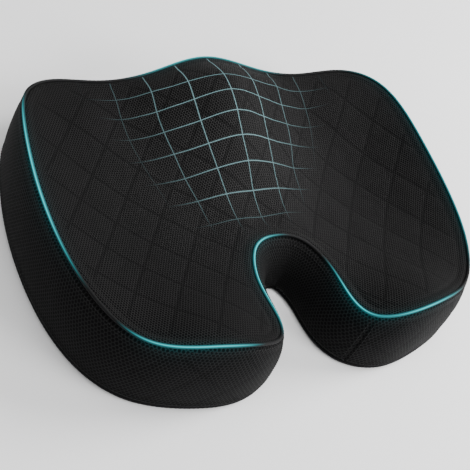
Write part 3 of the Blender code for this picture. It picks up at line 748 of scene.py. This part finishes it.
def puff():
    """Inflates the cover between its seams and quilting lines; returns how far it moves out.

    The first array is over every fourth line of the seat grid, the second over the wall's rows."""
    g = plan_grid(seam_inset(1.3), STEP)
    nr, nc = g.shape[:2]
    x, y = g[..., 0], g[..., 1]
    top = np.dstack([g, seat(x, y)]).reshape(-1, 3)
    tt = loop_params(STEP)
    rim = grid_rim(nr, nc)
    pts, faces = [top], [tuple(f) for f in grid_quads(nr, nc)]
    n, prev, count = len(tt), rim, len(top)
    for z in wall_rows(tt, SIM_ROWS, 1.2):
        z = np.minimum(z, top[rim, 2] - .8)
        pts.append(wall(tt, z))
        cur = list(range(count, count + n))
        faces += [(prev[k], prev[(k + 1) % n], cur[(k + 1) % n], cur[k]) for k in range(n)]
        prev, count = cur, count + n
    faces.append(tuple(prev))
    P = np.concatenate(pts)
    qa, qb = quilt_phase(top[:, 0], top[:, 1])
    hold = np.zeros(len(P))
    hold[:len(top)] = np.maximum(bump(off_line(qa, QUILT), 0, 3.2), bump(off_line(qb, 35), 0, 3.2)) * .96
    hold[rim] = 1
    hold[len(top):len(top) + n] = .97
    hold[-n:] = 1
    me = bpy.data.meshes.new("puff")
    me.from_pydata((P * MM).tolist(), [], faces)
    bm = bmesh.new(); bm.from_mesh(me)
    bmesh.ops.recalc_face_normals(bm, faces=bm.faces)
    bm.to_mesh(me); bm.free()
    ob = bpy.data.objects.new("puff", me)
    bpy.context.scene.collection.objects.link(ob)
    vg = ob.vertex_groups.new(name="hold")
    for i, w in enumerate(hold):
        if w > .02:
            vg.add([i], float(w), "REPLACE")
    bpy.context.view_layer.objects.active = ob
    cl = ob.modifiers.new("cloth", "CLOTH")
    st = cl.settings
    st.quality, st.mass = 5, .3
    st.tension_stiffness = st.compression_stiffness = 25
    st.shear_stiffness, st.bending_stiffness = 10, 1.0
    st.vertex_group_mass = "hold"
    st.pin_stiffness = 2.0
    st.use_pressure, st.uniform_pressure_force = True, 4.0
    st.effector_weights.gravity = 0
    cl.collision_settings.use_collision = False
    cl.point_cache.frame_start, cl.point_cache.frame_end = 1, 20
    nrm = np.zeros(len(P) * 3)
    me.vertices.foreach_get("normal", nrm)
    nrm = nrm.reshape(-1, 3)
    scene = bpy.context.scene
    for f in range(1, 21):
        scene.frame_set(f)
    dg = bpy.context.evaluated_depsgraph_get()
    ev = ob.evaluated_get(dg)
    co = np.zeros(len(P) * 3)
    ev.data.vertices.foreach_get("co", co)
    move = ((co.reshape(-1, 3) / MM - P) * nrm).sum(1)
    bpy.data.objects.remove(ob, do_unlink=True)
    bpy.data.meshes.remove(me)
    scene.frame_set(1)
    return move[:len(top)].reshape(nr, nc), move[len(top):].reshape(len(SIM_ROWS), n)


def finer(n, k):
    """Matrix that turns n coarse samples into (n - 1) * k + 1 fine ones by smooth cubic interpolation."""
    m = (n - 1) * k + 1
    A = np.zeros((m, n))
    for r in range(m):
        i, u = min(r // k, n - 2), 0
        u = r / k - i
        for o, w in zip((-1, 0, 1, 2), (-.5 * u + u * u - .5 * u ** 3, 1 - 2.5 * u * u + 1.5 * u ** 3,
                                        .5 * u + 2 * u * u - 1.5 * u ** 3, -.5 * u * u + .5 * u ** 3)):
            A[r, min(max(i + o, 0), n - 1)] += w
    return A


TOP_PUFF, WALL_PUFF = puff()
print("puff: seat %.2f to %.2f mm, wall %.2f to %.2f mm" % (TOP_PUFF.min(), TOP_PUFF.max(), WALL_PUFF.min(), WALL_PUFF.max()))
TOP_CAP, WALL_CAP = .9, 1.2                                      # the most that the fabric may rise
squeeze = lambda v, cap: cap * np.tanh(np.maximum(v, 0) / cap)
TOP_PUFF, WALL_PUFF = squeeze(TOP_PUFF, TOP_CAP), squeeze(WALL_PUFF, WALL_CAP)


# ------------------------------------------------------------------ seat panel
def seat_panel():
    g = plan_grid(seam_inset(.8))
    nr, nc = g.shape[:2]
    x, y = g[..., 0], g[..., 1]
    z = seat(x, y)
    nrm = seat_normal(x, y)
    e, t = to_seam(x, y)
    rise = finer((nr - 1) // STEP + 1, STEP) @ TOP_PUFF @ finer((nc - 1) // STEP + 1, STEP).T
    qa, qb = quilt_phase(x, y)
    fade = smooth(4, 14, e)                                       # the lines stop short of the edge roll
    line = np.maximum(bump(off_line(qa, QUILT), 0, 1.7), bump(off_line(qb, 35), 0, 1.7))
    rear = smooth(10, 12.5, np.abs(t - 16) * -1 + 16 + 0 * t)     # how close to the rear lobes
    lobe = np.clip(smooth(8.2, 9.6, t) * (1 - smooth(12.6, 14, t))
                   + smooth(18, 19.4, t) * (1 - smooth(22.4, 25.5, t)), 0, 1)
    d = rise * smooth(0, 8, e)
    d -= .22 * line * fade
    d += .55 * bump(e, 4.6, 3.0)                                  # rolled edge
    d -= (.25 + .75 * lobe) * bump(e, 9.6, 2.3)                   # crease inside it
    d -= 1.0 * bump(e, .6, 1.3)                                   # drawn into the seam
    d += .16 * waves(x, y, 3, 60) + .07 * waves(x, y, 4, 22) * smooth(0, 20, e)
    # small puckers where the stitched edge gathers
    s = along(t)
    d += .13 * np.sin(s * 2 * pi / 9.5 + 2 * np.sin(s / 37)) * bump(e, 3.2, 3.0)
    outer = np.dstack([g, z]) + nrm * d[..., None]
    inner = np.dstack([g, z]) - nrm * (COVER_T - .1)
    P, faces, at = thick(outer, inner)
    k, j, f = print_phase(x, y)
    f = f * smooth(1.5, 5, e)
    # painted teal light falling from the glowing piping onto the fabric beside the seam
    painted_halo = painted_glow(t) * (.70 * np.exp(-e / 1.9) + .22 * np.exp(-e / 6.0))
    # fabric coordinates: plan lengths, let out a little
    pick = lambda v: v.ravel()[at]
    attrs = {"fab": np.stack([pick(x * 1.03), pick(y * 1.02), pick(x * 0)], 1), "qa": pick(qa), "qb": pick(qb),
             "qs": pick(fade), "painted_halo": pick(painted_halo), "ga": pick(k), "gb": pick(j), "gf": pick(f)}
    ob = make("seat_panel", P, faces, M_TOP, attrs)
    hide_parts("cover_top_panel")
    return ob


seat_panel()


# ------------------------------------------------------------------ side bands
LOOP_T = loop_params()
FR = np.arange(len(LOOP_T)) / STEP                                # position in the coarse ring


def wall_rise(t, f):
    """Puff of the wall at loop parameters t (columns) and height fractions f (rows)."""
    n = WALL_PUFF.shape[1]
    tt = np.r_[LOOP_T, LOOP]
    pos = np.interp(np.asarray(t) % LOOP, tt, np.r_[FR, n])
    i = np.floor(pos).astype(int) % n
    u = (pos - np.floor(pos))[None]
    u = u * u * (3 - 2 * u)
    cols = WALL_PUFF[:, i] * (1 - u) + WALL_PUFF[:, (i + 1) % n] * u
    order = np.argsort(SIM_ROWS)
    out = np.empty((len(f), len(t)))
    for c in range(len(t)):
        out[:, c] = np.interp(f, SIM_ROWS[order], cols[order, c])
    return out


def band(name, t0, t1, node, z0=None, z1=None, ends=True, rows=None):
    gap = .0006
    t0, t1 = t0 + gap, t1 - gap
    pool = np.r_[LOOP_T - LOOP, LOOP_T, LOOP_T + LOOP]
    t = np.r_[t0, pool[(pool > t0 + .01) & (pool < t1 - .01)], t1]
    P0, nrm, flare = ring(t)
    top = P0[:, 2] - .8
    nr = rows or 33
    f = np.linspace(0, 1, nr)
    f = f + .10 * np.sin(2 * pi * f) * -.5                        # rows closer together at the two seams
    lo = np.full(len(t), FOOT - .6 if z0 is None else z0)
    hi = top if z1 is None else np.full(len(t), z1)
    Z = lo[None] + (hi - lo)[None] * f[:, None]
    outer = np.stack([wall(t, Z[r]) for r in range(nr)])
    fz = (Z - FOOT) / np.maximum(top - FOOT, 1)
    # distances in mm down the wall from the seam, up from the foot, and from the band's ends
    step = np.linalg.norm(np.diff(outer, axis=0), axis=2)
    up = np.vstack([np.zeros(len(t)), np.cumsum(step, 0)])
    down = up[-1][None] - up
    s = along(t)
    s0 = s - s[0]
    s1 = s[-1] - s
    S = np.broadcast_to(s, up.shape)
    rise = np.empty_like(up)
    for c in range(0, len(t), 1):
        pass
    rise = wall_rise(t, f) if z0 is None and z1 is None else 0 * up
    edge = np.minimum(smooth(0, 9, down), smooth(0, 9, up))
    d = rise * edge
    # diamond quilting, stronger towards the rear
    mid = down - 30
    qa = (S + mid) / 50.0
    qb = (S - mid) / 50.0
    tm = t % LOOP
    rear = np.clip(smooth(7.6, 9.2, tm) * (1 - smooth(22.8, 24.4, tm)), 0, 1)
    notch = smooth(12.4, 13.2, tm) * (1 - smooth(18.8, 19.6, tm))
    qs = (.25 + .75 * rear) * (1 - .5 * notch)
    if "front" in name:
        qs = qs * 0
    Q = np.broadcast_to(qs, up.shape) * smooth(5, 12, down) * smooth(3, 10, up)
    line = np.maximum(bump(off_line(qa, 35.4), 0, 1.7), bump(off_line(qb, 35.4), 0, 1.7))
    d = d - .3 * line * Q
    if z1 is None:
        d += .5 * bump(down, 4.6, 3.0) - 1.3 * bump(down, .4, 1.4) - .3 * bump(down, 9.5, 2.4)
    if z0 is None:
        d += .45 * bump(up, 4.2, 2.6) - 1.0 * bump(up, .2, 1.6)
    for q in ((s0, s1) if ends else ()):
        q = np.broadcast_to(q, up.shape)
        d += .2 * bump(q, 4.0, 2.4) - .5 * bump(q, .2, 1.0)      # drawn into the upright seams
    d += .14 * waves(S, up * 1.3, 11, 55) + .05 * waves(S, up, 12, 20)
    d += .11 * np.sin(S * 2 * pi / 8.5 + 2 * np.sin(S / 31)) * bump(down, 3.4, 3.0)
    # outward normal of the wall
    du = np.gradient(outer, axis=0)
    dt = np.gradient(outer, axis=1)
    n3 = np.cross(dt, du)
    n3 /= np.maximum(np.linalg.norm(n3, axis=2, keepdims=True), 1e-9)
    side = np.concatenate([nrm, np.zeros((len(t), 1))], 1)
    n3 *= np.sign((n3 * side[None]).sum(2, keepdims=True))
    inner = np.stack([wall(t, Z[r], COVER_T) for r in range(nr)])
    outer = outer + n3 * d[..., None]
    P, faces, at = thick(outer, inner)
    pick = lambda v: np.broadcast_to(v, up.shape).ravel()[at]
    # painted teal light falling from the glowing piping onto the fabric beside the seam
    painted_halo = painted_glow(tm)[None] * (.60 * np.exp(-down / 2.0) + .26 * np.exp(-down / 6.5)) if z1 is None else 0 * up
    attrs = {"fab": np.stack([pick(S), pick(up), pick(0 * S)], 1), "qa": pick(qa), "qb": pick(qb), "qs": pick(Q),
             "painted_halo": pick(painted_halo)}
    ob = make(name, P, faces, M_BAND, attrs)
    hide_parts(node)
    return outer


band("side_band_right", T_ZIP, T_REAR, "band_right")
band("notch_band", T_REAR, LOOP - T_REAR, "band_notch")
band("side_band_left", LOOP - T_REAR, LOOP - T_ZIP, "band_left")
band("front_band_upper", LOOP - T_ZIP, LOOP + T_ZIP, "band_front_upper", z0=ZIP_Z + ZIP_SLOT, rows=25)
band("front_band_lower", LOOP - T_ZIP, LOOP + T_ZIP, "band_front_lower", z1=ZIP_Z - ZIP_SLOT, rows=17)


# ------------------------------------------------------------------ piping and bottom cord
def edge_piping():
    n = int(SEAM_L[-1] / 1.0)
    t = np.interp(np.arange(n) * SEAM_L[-1] / n, SEAM_L, np.r_[SEAM_T, LOOP])
    C, nrm, _ = ring(t)
    C = C + (0, 0, .2)
    turns = round(SEAM_L[-1] / 4.2)
    total = SEAM_L[-1]

    def radius(S, A):
        return 1.50 + .05 * np.sin(3 * A + S * 2 * pi * turns / total)
    P, F, S, A = tube(C, radius, 14, closed=True)
    k = len(C)
    side = np.c_[nrm, np.zeros(k)]
    want = side * .42 + np.array([0, 0, .91])
    D = P.reshape(k, 14, 3) - C[:, None]
    D /= np.linalg.norm(D, axis=2, keepdims=True)
    crest = (D * want[:, None]).sum(2)
    # painted teal light along the loop, and how close each point lies to the crest where it is brightest
    attrs = {"painted_glow": np.repeat(painted_glow(t), 14), "crest": crest.ravel(), "weave": S * 2 * pi / .55 + A * 2}
    ob = make("edge_piping", P, F, M_PIPE, attrs)
    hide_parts("piping_top")


edge_piping()


def bottom_cord():
    n = 1500
    t = np.interp(np.arange(n) * SEAM_L[-1] / n, SEAM_L, np.r_[SEAM_T, LOOP])
    C = wall(t, 2.2)
    _, nrm, _ = ring(t)
    C[:, :2] += nrm * .1

    def radius(S, A):
        return 1.36 + .08 * np.sin(3 * A + S * 2 * pi / 4.0)
    P, F, S, A = tube(C, radius, 12, closed=True)
    ob = make("bottom_seam_cord", P, F, M_WELT, {"weave": S * 2 * pi / .6 + A * 2})
    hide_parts("welt_bottom")


bottom_cord()


# ------------------------------------------------------------------ base panel with grip dots
def inside(P, ring_):
    x, y = P[:, 0], P[:, 1]
    ok = np.zeros(len(P), bool)
    a, b = ring_, np.roll(ring_, -1, 0)
    for (x0, y0), (x1, y1) in zip(a, b):
        hit = ((y0 > y) != (y1 > y)) & (x < (x1 - x0) * (y - y0) / (y1 - y0 + 1e-12) + x0)
        ok ^= hit
    return ok


def base_panel():
    def edge(t):
        P, n, _ = ring(t)
        q = wall(t, 0.0)[:, :2] - n * 1.6
        q[np.abs(P[:, 0]) < 1e-6, 0] = 0
        return q
    g = plan_grid(edge, 2)
    nr, nc = g.shape[:2]
    low = np.dstack([g, np.full((nr, nc), .75)])
    low[..., 2] += .08 * waves(g[..., 0], g[..., 1], 21, 50)
    high = np.dstack([g, np.full((nr, nc), BASE_T)])
    P, faces, at = thick(low, high)
    x, y = low[..., 0].ravel()[at], low[..., 1].ravel()[at]
    ob = make("base_panel", P, faces, M_BASE, {"fab": np.stack([x, y, 0 * x], 1)}, smooth_angle=50)
    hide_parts("cover_bottom_panel")
    # moulded rubber dots, set in rows
    pitch = 9.0
    rows = []
    for i, yy in enumerate(np.arange(-165, 165, pitch * .866)):
        for xx in np.arange(-225 + (i % 2) * pitch / 2, 225, pitch):
            rows.append((xx, yy))
    C = np.array(rows)
    outline = edge(loop_params(4))
    keep = inside(C, outline)
    for a in np.arange(8) * pi / 4:
        keep &= inside(C + 7.0 * np.array([cos(a), sin(a)]), outline)
    C = C[keep]
    ang = np.arange(10) * 2 * pi / 10
    prof = [(1.75, .95), (1.7, .45), (1.25, .12), (.6, .02)]
    dome = np.array([(r * cos(a), r * sin(a), z) for r, z in prof for a in ang] + [(0, 0, 0.0)])
    top_c = len(dome)
    F = []
    for k in range(len(prof) - 1):
        for a in range(10):
            F.append((k * 10 + a, k * 10 + (a + 1) % 10, (k + 1) * 10 + (a + 1) % 10, (k + 1) * 10 + a))
    F += [(30 + a, 30 + (a + 1) % 10, 40) for a in range(10)]
    F.append(tuple(range(10))[::-1])
    P, F = joined([(dome + (c[0], c[1], 0), F) for c in C])
    ob = make("grip_dots", P, F, M_RUBBER, smooth_angle=50)


base_panel()


# ------------------------------------------------------------------ zip on the front face
def arc_point(x, depth, z):
    """Point at arc position x (mm along the front arc's chord angle), depth behind its face, height z."""
    phi = np.arcsin(np.asarray(x, float) / FRONT_R)
    r = FRONT_R - np.asarray(depth, float)
    return np.stack(np.broadcast_arrays(r * np.sin(phi), FRONT_Y - FRONT_R + r * np.cos(phi), z), -1).astype(float)


def zip_tapes():
    for name, lo, hi, node in (("zip_tape_top", 1.2, 13, "zip_tape_upper"), ("zip_tape_bottom", -13, -1.2, "zip_tape_lower")):
        xs = np.linspace(-FRONT_X + 1, FRONT_X - 1, 241)
        zs = np.linspace(lo, hi, 13)
        X, Z = np.meshgrid(xs, zs)
        edge = lo if lo > 0 else hi
        d = 3.0 + .12 * np.sin(X * 2 * pi / 3.1) * bump(Z, edge, 1.2)
        outer = arc_point(X, d, ZIP_Z + Z)
        inner = arc_point(X, 3.6, ZIP_Z + Z)
        P, faces, at = thick(outer, inner)
        pick = lambda v: v.ravel()[at]
        ob = make(name, P, faces, M_TAPE, {"fab": np.stack([pick(X), pick(Z), 0 * pick(X)], 1)}, smooth_angle=50)
        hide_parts(node)


zip_tapes()


def zip_coils():
    pitch = 1.5
    for name, up, node in (("zip_coil_top", 1, "zip_coil_upper"), ("zip_coil_bottom", -1, "zip_coil_lower")):
        turns = int(2 * ZIP_X / pitch) - 1
        n = turns * 14
        s = np.arange(n + 1) / 14.0
        a = 2 * pi * s
        x = -ZIP_X + .8 + (s + (.25 if up < 0 else -.25)) * pitch + .22 * np.sin(2 * a)
        z = 1.35 + 1.75 * np.cos(a)                                # reaches past the middle, between the others
        z = np.where(np.cos(a) < -.75, z - .15, z)
        d = 1.62 + .80 * np.sin(a)
        line = arc_point(x, d, ZIP_Z + up * z)
        P, F, S, A = tube(line, .33, 6, up=np.tile((1.0, 0, 0), (n + 1, 1)))
        ob = make(name, P, F, M_NYLON)
        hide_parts(node)


zip_coils()


def zip_ends():
    for name, side, node in (("zip_end_tab_left", -1, "zip_end_left"), ("zip_end_tab_right", 1, "zip_end_right")):
        ta, tb = t_at_x(ZIP_X + 6), T_ZIP - .012
        t = np.linspace(ta, tb, 17) if side > 0 else LOOP - np.linspace(tb, ta, 17)
        zs = np.linspace(ZIP_Z - ZIP_SLOT + GAP, ZIP_Z + ZIP_SLOT - GAP, 13)
        outer = np.stack([wall(t, z) for z in zs])
        inner = np.stack([wall(t, z, COVER_T) for z in zs])
        U, V = np.meshgrid(along(t), zs)
        e = np.minimum(np.minimum(U - U.min(), U.max() - U), np.minimum(V - zs[0], zs[-1] - V))
        outer[..., 1] -= .8 * bump(e, 0, 1.0)
        P, faces, at = thick(outer, inner)
        pick = lambda v: v.ravel()[at]
        z0 = 0 * pick(U)
        ob = make(name, P, faces, M_BAND, {"fab": np.stack([pick(U), pick(V), z0], 1), "qa": z0 + .5, "qb": z0 + .5,
                                           "qs": z0, "painted_halo": z0})
        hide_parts(node)


zip_ends()


# the zip's own metal keeps its CAD shape, with its edges softened
for node, width in (("zip_slider", .35), ("zip_pull", .3), ("zip_stop_open", .35), ("zip_stop_closed", .35)):
    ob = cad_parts[node]
    weld = ob.modifiers.new("weld", "WELD")
    weld.merge_threshold = 1e-6
    bev = ob.modifiers.new("edges", "BEVEL")
    bev.width, bev.segments, bev.limit_method, bev.angle_limit = width * MM, 3, "ANGLE", radians(30)
    ob.data.shade_smooth()
    ob.data.materials.clear()
    ob.data.materials.append(M_METAL)


# ------------------------------------------------------------------ label
def label():
    t = np.linspace(t_at_x(132), t_at_x(132) + .32, 33)
    zs = np.linspace(4.8, 24, 41)
    U, V = np.meshgrid(along(t), zs)
    f = (V - 4.8) / (24 - 4.8)
    out = 1.75 + .55 * np.sin(pi * f) ** 1.2 + .12 * np.sin(U * .9 + 1) * f
    outer = np.stack([wall(t, z, -out[i]) for i, z in enumerate(zs)])
    inner = np.stack([wall(t, z, -out[i] + .4) for i, z in enumerate(zs)])
    P, faces, at = thick(outer, inner, 2)
    pick = lambda v: v.ravel()[at]
    ob = make("care_tag", P, faces, M_SATIN, {"fab": np.stack([pick(U), pick(V), 0 * pick(U)], 1)}, smooth_angle=50)
    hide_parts("care_label")


label()


# ------------------------------------------------------------------ stitching
def wall_normal(c):
    """Outward plan direction at points near the wall."""
    out = np.zeros_like(c)
    for i, p in enumerate(c):
        _, k, _ = _tree.find((p[0], p[1], 0))
        out[i, :2] = ring(SEAM_T[k])[1][0]
    return out


def stitching():
    parts = []
    t = loop_params(2)
    # topstitch on the bands just under the piping
    P0, n, _ = ring(t)
    C = wall(t, P0[:, 2] - 4.4)
    C[:, :2] += n * .25
    parts.append(stitches(C, wall_normal, closed=True))
    # lower topstitch above the bottom cord
    C = wall(t, 8.5)
    C[:, :2] += n * .25
    keep = np.ones(len(t), bool)
    parts.append(stitches(C, wall_normal, closed=True))
    # both sides of the upright seams
    for tc in (T_REAR, LOOP - T_REAR, T_ZIP, LOOP - T_ZIP):
        for o in (-2.4, 2.4):
            ds = (along(tc + .01) - along(tc - .01)) / .02
            tt = np.full(30, tc + o / ds)
            top = ring(tt[:1])[0][0, 2]
            z = np.linspace(9, top - 6, 30)
            C = np.stack([wall(tt[k:k + 1], z[k])[0] for k in range(30)])
            nn = ring(tt[:1])[1][0]
            C[:, :2] += nn * .2
            parts.append(stitches(C, wall_normal))
    # along the zip
    for dz in (-ZIP_SLOT - 2.2, ZIP_SLOT + 2.2):
        x = np.linspace(-FRONT_X + 3, FRONT_X - 3, 80)
        C = arc_point(x, -.05, ZIP_Z + dz)
        parts.append(stitches(C, wall_normal))
    P, F = joined(parts)
    ob = make("seam_stitching", P, F, M_THREAD)


stitching()


# ------------------------------------------------------------------ what is inside the cover
def skin(d, relief, base, k=STEP):
    g = plan_grid(seam_inset(d + .4), k)
    nr, nc = g.shape[:2]
    x, y = g[..., 0], g[..., 1]
    gx, gy = seat(x + .5, y) - seat(x - .5, y), seat(x, y + .5) - seat(x, y - .5)
    top = np.dstack([g, seat(x, y) - d * np.sqrt(1 + gx ** 2 + gy ** 2)]).reshape(-1, 3)
    tt = loop_params(k)
    rim = grid_rim(nr, nc)
    pts, faces = [top], [tuple(f) for f in grid_quads(nr, nc)]
    n, prev, count, starts = len(tt), rim, len(top), []
    seam_top = ring(tt)[0][:, 2] - PIPE_R - .5
    a = ZIP_Z + 14.0
    levels = [a + (seam_top - a) * q for q in (.88, .75, .58, .4, .2)] + [np.full(n, z) for z in (a, 36.0, 24.0, 14.0, 7.0, base)]
    for i, z in enumerate(levels):
        z = np.minimum(z, top[rim, 2] - 1.0 - .6 * i)
        pts.append(wall(tt, z, np.full(n, d), relief))
        cur = list(range(count, count + n))
        starts.append(len(faces))
        faces += [(prev[q], prev[(q + 1) % n], cur[(q + 1) % n], cur[q]) for q in range(n)]
        prev, count = cur, count + n
    faces.append(tuple(prev))
    return np.concatenate(pts), faces, starts, n, tt


def inside_pieces():
    P, faces, _, _, _ = skin(COVER_T + 2.9, 3.2, BASE_T + 1.5)
    P[:, 2] += .15 * waves(P[:, 0], P[:, 1], 31, 40) * (P[:, 2] > 20)
    ob = make("foam_pad", P, faces, M_FOAM, smooth_angle=60)
    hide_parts("foam_core")
    po, faces, starts, n, tt = skin(COVER_T + .9, 3.2, BASE_T + .45)
    pi_, _, _, _, _ = skin(COVER_T + 1.5, 3.2, BASE_T + 1.05)
    mouth = {starts[7] + i for i in range(n) if np.abs(seam_at(tt[i:i + 1])[0, 0]) < 95 and seam_at(tt[i:i + 1])[0, 1] > 0}
    outer = [f for q, f in enumerate(faces) if q not in mouth]
    k = len(po)
    edges = {}
    for f in outer:
        for a, b in zip(f, f[1:] + f[:1]):
            edges[(a, b)] = 1
    rims = [(b, a, a + k, b + k) for (a, b) in edges if (b, a) not in edges]
    P = np.concatenate([po, pi_])
    F = outer + [tuple(v + k for v in f[::-1]) for f in outer] + rims
    ob = make("liner_sock", P, F, M_LINER, {"fab": np.stack([P[:, 0], P[:, 1] + P[:, 2], P[:, 0] * 0], 1)}, smooth_angle=60)
    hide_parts("inner_liner")


inside_pieces()


# ------------------------------------------------------------------ floor, light, camera
def stage():
    me = bpy.data.meshes.new("floor")
    r = 6.0
    me.from_pydata([(-r, -r, -.0002), (r, -r, -.0002), (r, r, -.0002), (-r, r, -.0002)], [], [(0, 1, 2, 3)])
    me.materials.append(floor_mat())
    ob = bpy.data.objects.new("floor", me)
    bpy.context.scene.collection.objects.link(ob)

    def area(name, at, to, size, power, colour=(1, 1, 1)):
        li = bpy.data.lights.new(name, "AREA")
        li.shape, li.size, li.energy, li.color = "DISK", size, power, colour
        lo = bpy.data.objects.new(name, li)
        bpy.context.scene.collection.objects.link(lo)
        lo.location = at
        lo.rotation_mode = "QUATERNION"
        lo.rotation_quaternion = (Vector(to) - Vector(at)).to_track_quat("-Z", "Y")
    area("key", (1.5, -.1, 1.05), (0, 0, .05), .8, 44)
    area("rear", (1.0, -1.1, 1.1), (0, 0, .05), .8, 26)
    area("top", (0, 0, 2.4), (0, 0, .05), 1.6, 20)
    sp = bpy.data.lights.new("pool", "SPOT")
    sp.energy, sp.spot_size, sp.spot_blend, sp.shadow_soft_size = 200, radians(10.5), 1.0, .10
    so = bpy.data.objects.new("pool", sp)
    bpy.context.scene.collection.objects.link(so)
    so.location = (.25, -.3, 1.2)
    so.rotation_mode = "QUATERNION"
    so.rotation_quaternion = (Vector((.018, .035, .07)) - Vector(so.location)).to_track_quat("-Z", "Y")
    w = bpy.data.worlds.new("studio")
    bpy.context.scene.world = w
    w.use_nodes = True
    w.node_tree.nodes["Background"].inputs[0].default_value = (1, 1, 1, 1)
    w.node_tree.nodes["Background"].inputs[1].default_value = .70


stage()

AZ, EL, ROLL = radians(-47.5215), radians(47.9962), radians(31.0719)
back = Vector((sin(AZ) * cos(EL), -cos(AZ) * cos(EL), sin(EL)))
right = Vector((cos(AZ), sin(AZ), 0))
up_ = back.cross(right)
r2 = right * cos(ROLL) + up_ * sin(ROLL)
u2 = up_ * cos(ROLL) - right * sin(ROLL)
cd = bpy.data.cameras.new("photo_view")
cam = bpy.data.objects.new("photo_view", cd)
bpy.context.scene.collection.objects.link(cam)
M = Matrix((r2, u2, back)).transposed().to_4x4()
M.translation = Vector((-.42752, -.38709, .63616))
cam.matrix_world = M
cd.sensor_width, cd.lens = 36.0, 66.05
cd.clip_start, cd.clip_end = .01, 50
bpy.context.scene.camera = cam
